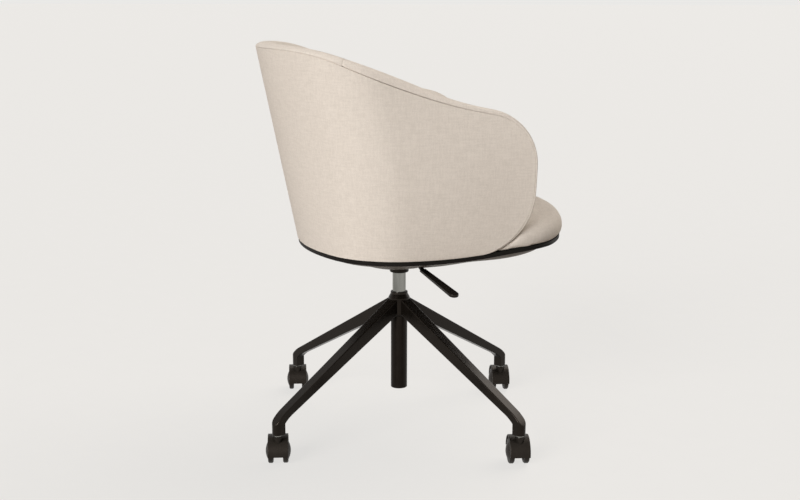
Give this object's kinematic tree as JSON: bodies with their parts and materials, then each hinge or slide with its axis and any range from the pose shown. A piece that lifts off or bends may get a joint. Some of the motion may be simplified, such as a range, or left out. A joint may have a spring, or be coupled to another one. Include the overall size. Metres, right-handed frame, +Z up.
{
  "type": "office chair",
  "caption": "Upholstered tub office chair with wraparound arms on a height-adjustable gas column and a swivel base of sloping legs with twin-wheel castors.",
  "frame": {"origin": "on the floor, under the axis of the column", "axes": "+Z up along the column, the chair faces -Y, +X to the sitter's left"},
  "size_m": [0.6274, 0.6345, 0.8137],
  "materials": {
    "seat_fabric": "fine plain weave, warm light beige",
    "moulded_shell": "moulded, matte",
    "seat_board_black": "bent plywood, stained black edge",
    "dark_plastic": "fine grain, satin",
    "black_steel": "black powder coat",
    "base_metal": "die cast, black satin coat",
    "bright_cylinder": "bright plated",
    "zinc_steel": "zinc plated",
    "brass_valve": "turned",
    "buffer_rubber": "matte",
    "castor_plastic": "satin, moulded",
    "castor_wheel": "satin, moulded, worn tread"
  },
  "bodies": {
    "base": {"base_hub": "base_metal", "leg_1": "base_metal", "leg_2": "base_metal", "leg_3": "base_metal", "leg_4": "base_metal", "column_tube": "black_steel", "tube_floor": "black_steel", "guide_bush": "castor_plastic", "bearing_bottom_washer": "zinc_steel", "bearing_balls": "zinc_steel", "castor_sockets": "dark_plastic", "castor_stems": "bright_cylinder"},
    "rod": {"piston_rod": "zinc_steel", "piston": "dark_plastic", "bearing_top_washer": "zinc_steel", "rod_buffer": "buffer_rubber", "retaining_clip": "zinc_steel"},
    "seat": {"tub_outer_panel": "seat_fabric", "tub_shell": "moulded_shell", "tub_back_pad": "seat_fabric", "tub_left_pad": "seat_fabric", "tub_right_pad": "seat_fabric", "seat_board": "seat_board_black", "seat_cushion": "seat_fabric", "underside_cover": "dark_plastic", "cover_screws": "black_steel", "tub_screws": "zinc_steel", "seat_plate": "black_steel", "plate_bolts": "zinc_steel", "board_nuts": "zinc_steel", "mechanism_housing": "black_steel", "lever_pivot": "zinc_steel", "gas_cylinder": "bright_cylinder", "rod_gland": "dark_plastic", "valve_block": "brass_valve"},
    "lever": {"lever_arm": "black_steel", "lever_paddle": "castor_plastic"},
    "release_pin": {"release_pin": "zinc_steel"},
    "castor_1": {"castor_hood_1": "castor_plastic", "castor_axle_1": "zinc_steel"},
    "wheel_1a": {"castor_wheel_1a": "castor_wheel"},
    "wheel_1b": {"castor_wheel_1b": "castor_wheel"},
    "castor_2": {"castor_hood_2": "castor_plastic", "castor_axle_2": "zinc_steel"},
    "wheel_2a": {"castor_wheel_2a": "castor_wheel"},
    "wheel_2b": {"castor_wheel_2b": "castor_wheel"},
    "castor_3": {"castor_hood_3": "castor_plastic", "castor_axle_3": "zinc_steel"},
    "wheel_3a": {"castor_wheel_3a": "castor_wheel"},
    "wheel_3b": {"castor_wheel_3b": "castor_wheel"},
    "castor_4": {"castor_hood_4": "castor_plastic", "castor_axle_4": "zinc_steel"},
    "wheel_4a": {"castor_wheel_4a": "castor_wheel"},
    "wheel_4b": {"castor_wheel_4b": "castor_wheel"}
  },
  "joints": [
    {"name": "seat_swivel", "type": "hinge", "parent": "base", "child": "rod", "pos_m": [0, 0, 0.1], "axis": [0, 0, 1], "continuous": true},
    {"name": "seat_height", "type": "slide", "parent": "rod", "child": "seat", "axis": [0, 0, 1], "range_m": [-0.035, 0.055]},
    {"name": "lever_lift", "type": "hinge", "parent": "seat", "child": "lever", "pos_m": [-0.03273, -0.0092, 0.3945], "axis": [-0.2706, 0.9627, 0], "range_deg": [0, 6], "stiffness_Nm_per_rad": 2, "springref_deg": -6.88},
    {"name": "pin_press", "type": "slide", "parent": "seat", "child": "release_pin", "axis": [0, 0, -1], "range_m": [0, 0.0036]},
    {"name": "castor_1_swivel", "type": "hinge", "parent": "base", "child": "castor_1", "pos_m": [0.27902, 0.18468, 0.06], "axis": [0, 0, 1], "continuous": true},
    {"name": "wheel_1a_spin", "type": "hinge", "parent": "castor_1", "child": "wheel_1a", "pos_m": [0.29686, 0.18233, 0.025], "axis": [0.1305, 0.9914, 0], "continuous": true},
    {"name": "wheel_1b_spin", "type": "hinge", "parent": "castor_1", "child": "wheel_1b", "pos_m": [0.29686, 0.18233, 0.025], "axis": [0.1305, 0.9914, 0], "continuous": true},
    {"name": "castor_2_swivel", "type": "hinge", "parent": "base", "child": "castor_2", "pos_m": [-0.18468, 0.27902, 0.06], "axis": [0, 0, 1], "continuous": true},
    {"name": "wheel_2a_spin", "type": "hinge", "parent": "castor_2", "child": "wheel_2a", "pos_m": [-0.16683, 0.27667, 0.025], "axis": [0.1305, 0.9914, 0], "continuous": true},
    {"name": "wheel_2b_spin", "type": "hinge", "parent": "castor_2", "child": "wheel_2b", "pos_m": [-0.16683, 0.27667, 0.025], "axis": [0.1305, 0.9914, 0], "continuous": true},
    {"name": "castor_3_swivel", "type": "hinge", "parent": "base", "child": "castor_3", "pos_m": [-0.27902, -0.18468, 0.06], "axis": [0, 0, 1], "continuous": true},
    {"name": "wheel_3a_spin", "type": "hinge", "parent": "castor_3", "child": "wheel_3a", "pos_m": [-0.26117, -0.18703, 0.025], "axis": [0.1305, 0.9914, 0], "continuous": true},
    {"name": "wheel_3b_spin", "type": "hinge", "parent": "castor_3", "child": "wheel_3b", "pos_m": [-0.26117, -0.18703, 0.025], "axis": [0.1305, 0.9914, 0], "continuous": true},
    {"name": "castor_4_swivel", "type": "hinge", "parent": "base", "child": "castor_4", "pos_m": [0.18468, -0.27902, 0.06], "axis": [0, 0, 1], "continuous": true},
    {"name": "wheel_4a_spin", "type": "hinge", "parent": "castor_4", "child": "wheel_4a", "pos_m": [0.20252, -0.28137, 0.025], "axis": [0.1305, 0.9914, 0], "continuous": true},
    {"name": "wheel_4b_spin", "type": "hinge", "parent": "castor_4", "child": "wheel_4b", "pos_m": [0.20252, -0.28137, 0.025], "axis": [0.1305, 0.9914, 0], "continuous": true}
  ],
  "couplings": [
    {"joint": "pin_press", "follows": "lever_lift", "m_per_rad": 0.034}
  ]
}
